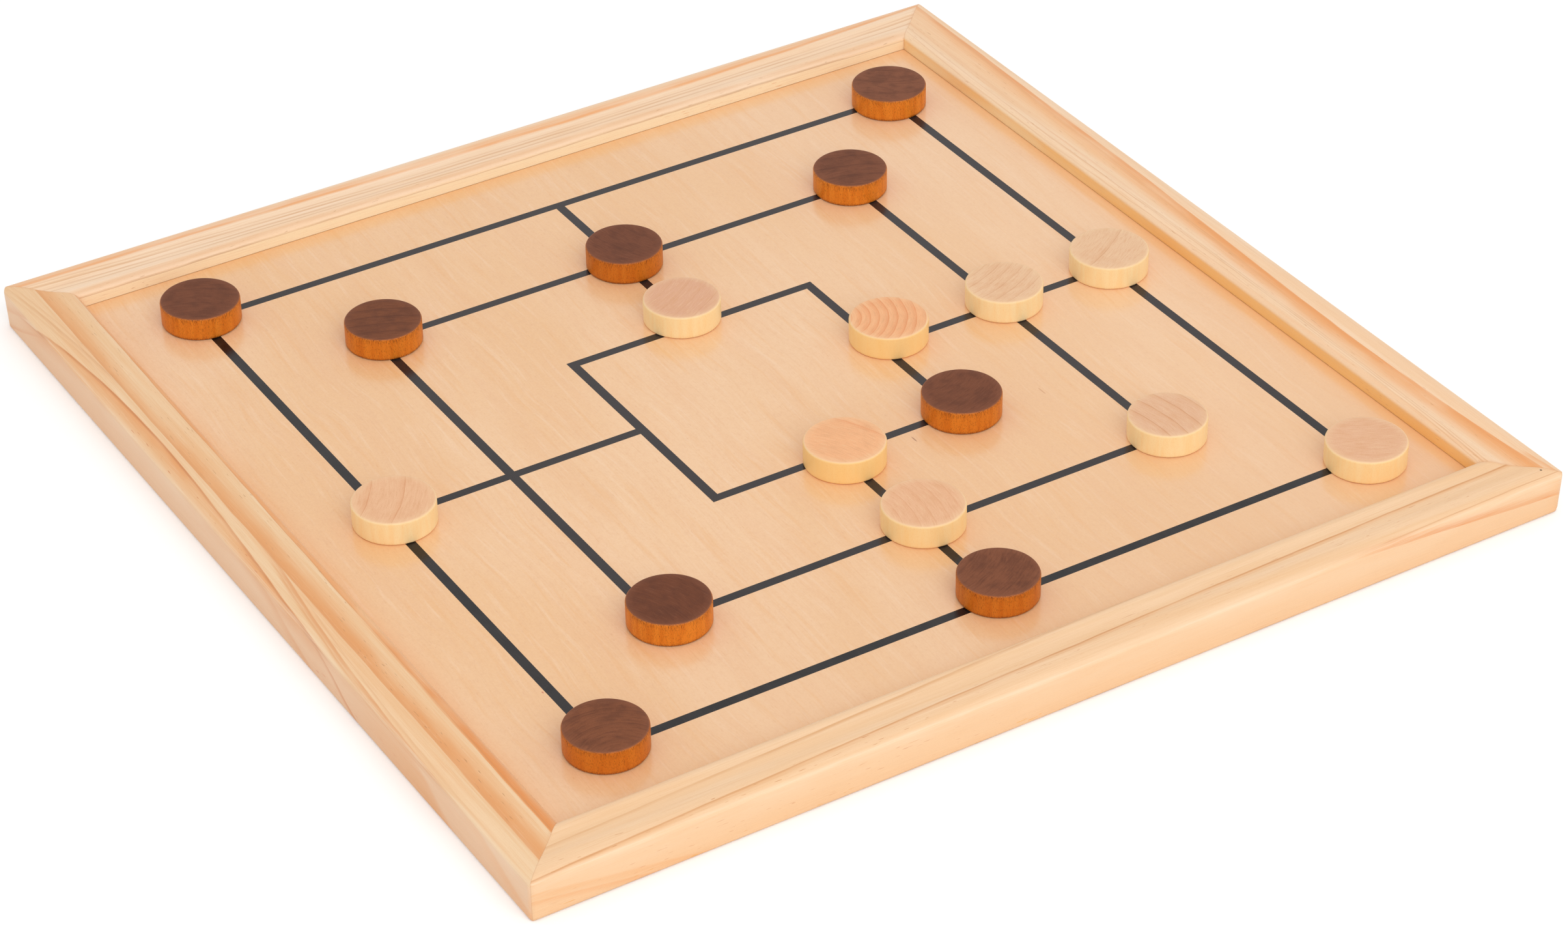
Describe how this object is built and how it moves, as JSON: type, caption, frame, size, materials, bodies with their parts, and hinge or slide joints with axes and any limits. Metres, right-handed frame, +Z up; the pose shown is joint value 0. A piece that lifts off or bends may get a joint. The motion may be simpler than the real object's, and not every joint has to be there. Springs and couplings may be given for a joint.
{
  "type": "nine men's morris board",
  "caption": "Square wooden board game tray: mitred moulded frame, plywood panel with the three nested squares of the mill pattern, and two sets of round wooden men that lift off.",
  "frame": {"origin": "middle of the square frame on the surface that it lies on", "axes": "+Z up, +X towards the right rail, +Y towards the back rail"},
  "size_m": [0.4, 0.4, 0.0188],
  "materials": {
    "pine_rail": "satin clear varnish",
    "birch_veneer": "satin clear varnish",
    "line_ink": "satin printed ink",
    "wedge_steel": "plain",
    "dark_man_wood": "stained and varnished",
    "light_man_wood": "clear varnish"
  },
  "bodies": {
    "board": {"rail_front": "pine_rail", "rail_right": "pine_rail", "rail_back": "pine_rail", "rail_left": "pine_rail", "playing_panel": "birch_veneer", "printed_lines": "line_ink", "mitre_wedges": "wedge_steel"},
    "dark_man_1_body": {"dark_man_1": "dark_man_wood"},
    "dark_man_2_body": {"dark_man_2": "dark_man_wood"},
    "dark_man_3_body": {"dark_man_3": "dark_man_wood"},
    "dark_man_4_body": {"dark_man_4": "dark_man_wood"},
    "dark_man_5_body": {"dark_man_5": "dark_man_wood"},
    "dark_man_6_body": {"dark_man_6": "dark_man_wood"},
    "dark_man_7_body": {"dark_man_7": "dark_man_wood"},
    "dark_man_8_body": {"dark_man_8": "dark_man_wood"},
    "dark_man_9_body": {"dark_man_9": "dark_man_wood"},
    "light_man_1_body": {"light_man_1": "light_man_wood"},
    "light_man_2_body": {"light_man_2": "light_man_wood"},
    "light_man_3_body": {"light_man_3": "light_man_wood"},
    "light_man_4_body": {"light_man_4": "light_man_wood"},
    "light_man_5_body": {"light_man_5": "light_man_wood"},
    "light_man_6_body": {"light_man_6": "light_man_wood"},
    "light_man_7_body": {"light_man_7": "light_man_wood"},
    "light_man_8_body": {"light_man_8": "light_man_wood"},
    "light_man_9_body": {"light_man_9": "light_man_wood"}
  },
  "joints": [
    {"name": "dark_man_1_lift", "type": "slide", "parent": "board", "child": "dark_man_1_body", "axis": [0, 0, 1], "range_m": [0, 0.03]},
    {"name": "dark_man_2_lift", "type": "slide", "parent": "board", "child": "dark_man_2_body", "axis": [0, 0, 1], "range_m": [0, 0.03]},
    {"name": "dark_man_3_lift", "type": "slide", "parent": "board", "child": "dark_man_3_body", "axis": [0, 0, 1], "range_m": [0, 0.03]},
    {"name": "dark_man_4_lift", "type": "slide", "parent": "board", "child": "dark_man_4_body", "axis": [0, 0, 1], "range_m": [0, 0.03]},
    {"name": "dark_man_5_lift", "type": "slide", "parent": "board", "child": "dark_man_5_body", "axis": [0, 0, 1], "range_m": [0, 0.03]},
    {"name": "dark_man_6_lift", "type": "slide", "parent": "board", "child": "dark_man_6_body", "axis": [0, 0, 1], "range_m": [0, 0.03]},
    {"name": "dark_man_7_lift", "type": "slide", "parent": "board", "child": "dark_man_7_body", "axis": [0, 0, 1], "range_m": [0, 0.03]},
    {"name": "dark_man_8_lift", "type": "slide", "parent": "board", "child": "dark_man_8_body", "axis": [0, 0, 1], "range_m": [0, 0.03]},
    {"name": "dark_man_9_lift", "type": "slide", "parent": "board", "child": "dark_man_9_body", "axis": [0, 0, 1], "range_m": [0, 0.03]},
    {"name": "light_man_1_lift", "type": "slide", "parent": "board", "child": "light_man_1_body", "axis": [0, 0, 1], "range_m": [0, 0.03]},
    {"name": "light_man_2_lift", "type": "slide", "parent": "board", "child": "light_man_2_body", "axis": [0, 0, 1], "range_m": [0, 0.03]},
    {"name": "light_man_3_lift", "type": "slide", "parent": "board", "child": "light_man_3_body", "axis": [0, 0, 1], "range_m": [0, 0.03]},
    {"name": "light_man_4_lift", "type": "slide", "parent": "board", "child": "light_man_4_body", "axis": [0, 0, 1], "range_m": [0, 0.03]},
    {"name": "light_man_5_lift", "type": "slide", "parent": "board", "child": "light_man_5_body", "axis": [0, 0, 1], "range_m": [0, 0.03]},
    {"name": "light_man_6_lift", "type": "slide", "parent": "board", "child": "light_man_6_body", "axis": [0, 0, 1], "range_m": [0, 0.03]},
    {"name": "light_man_7_lift", "type": "slide", "parent": "board", "child": "light_man_7_body", "axis": [0, 0, 1], "range_m": [0, 0.03]},
    {"name": "light_man_8_lift", "type": "slide", "parent": "board", "child": "light_man_8_body", "axis": [0, 0, 1], "range_m": [0, 0.03]},
    {"name": "light_man_9_lift", "type": "slide", "parent": "board", "child": "light_man_9_body", "axis": [0, 0, 1], "range_m": [0, 0.03]}
  ]
}
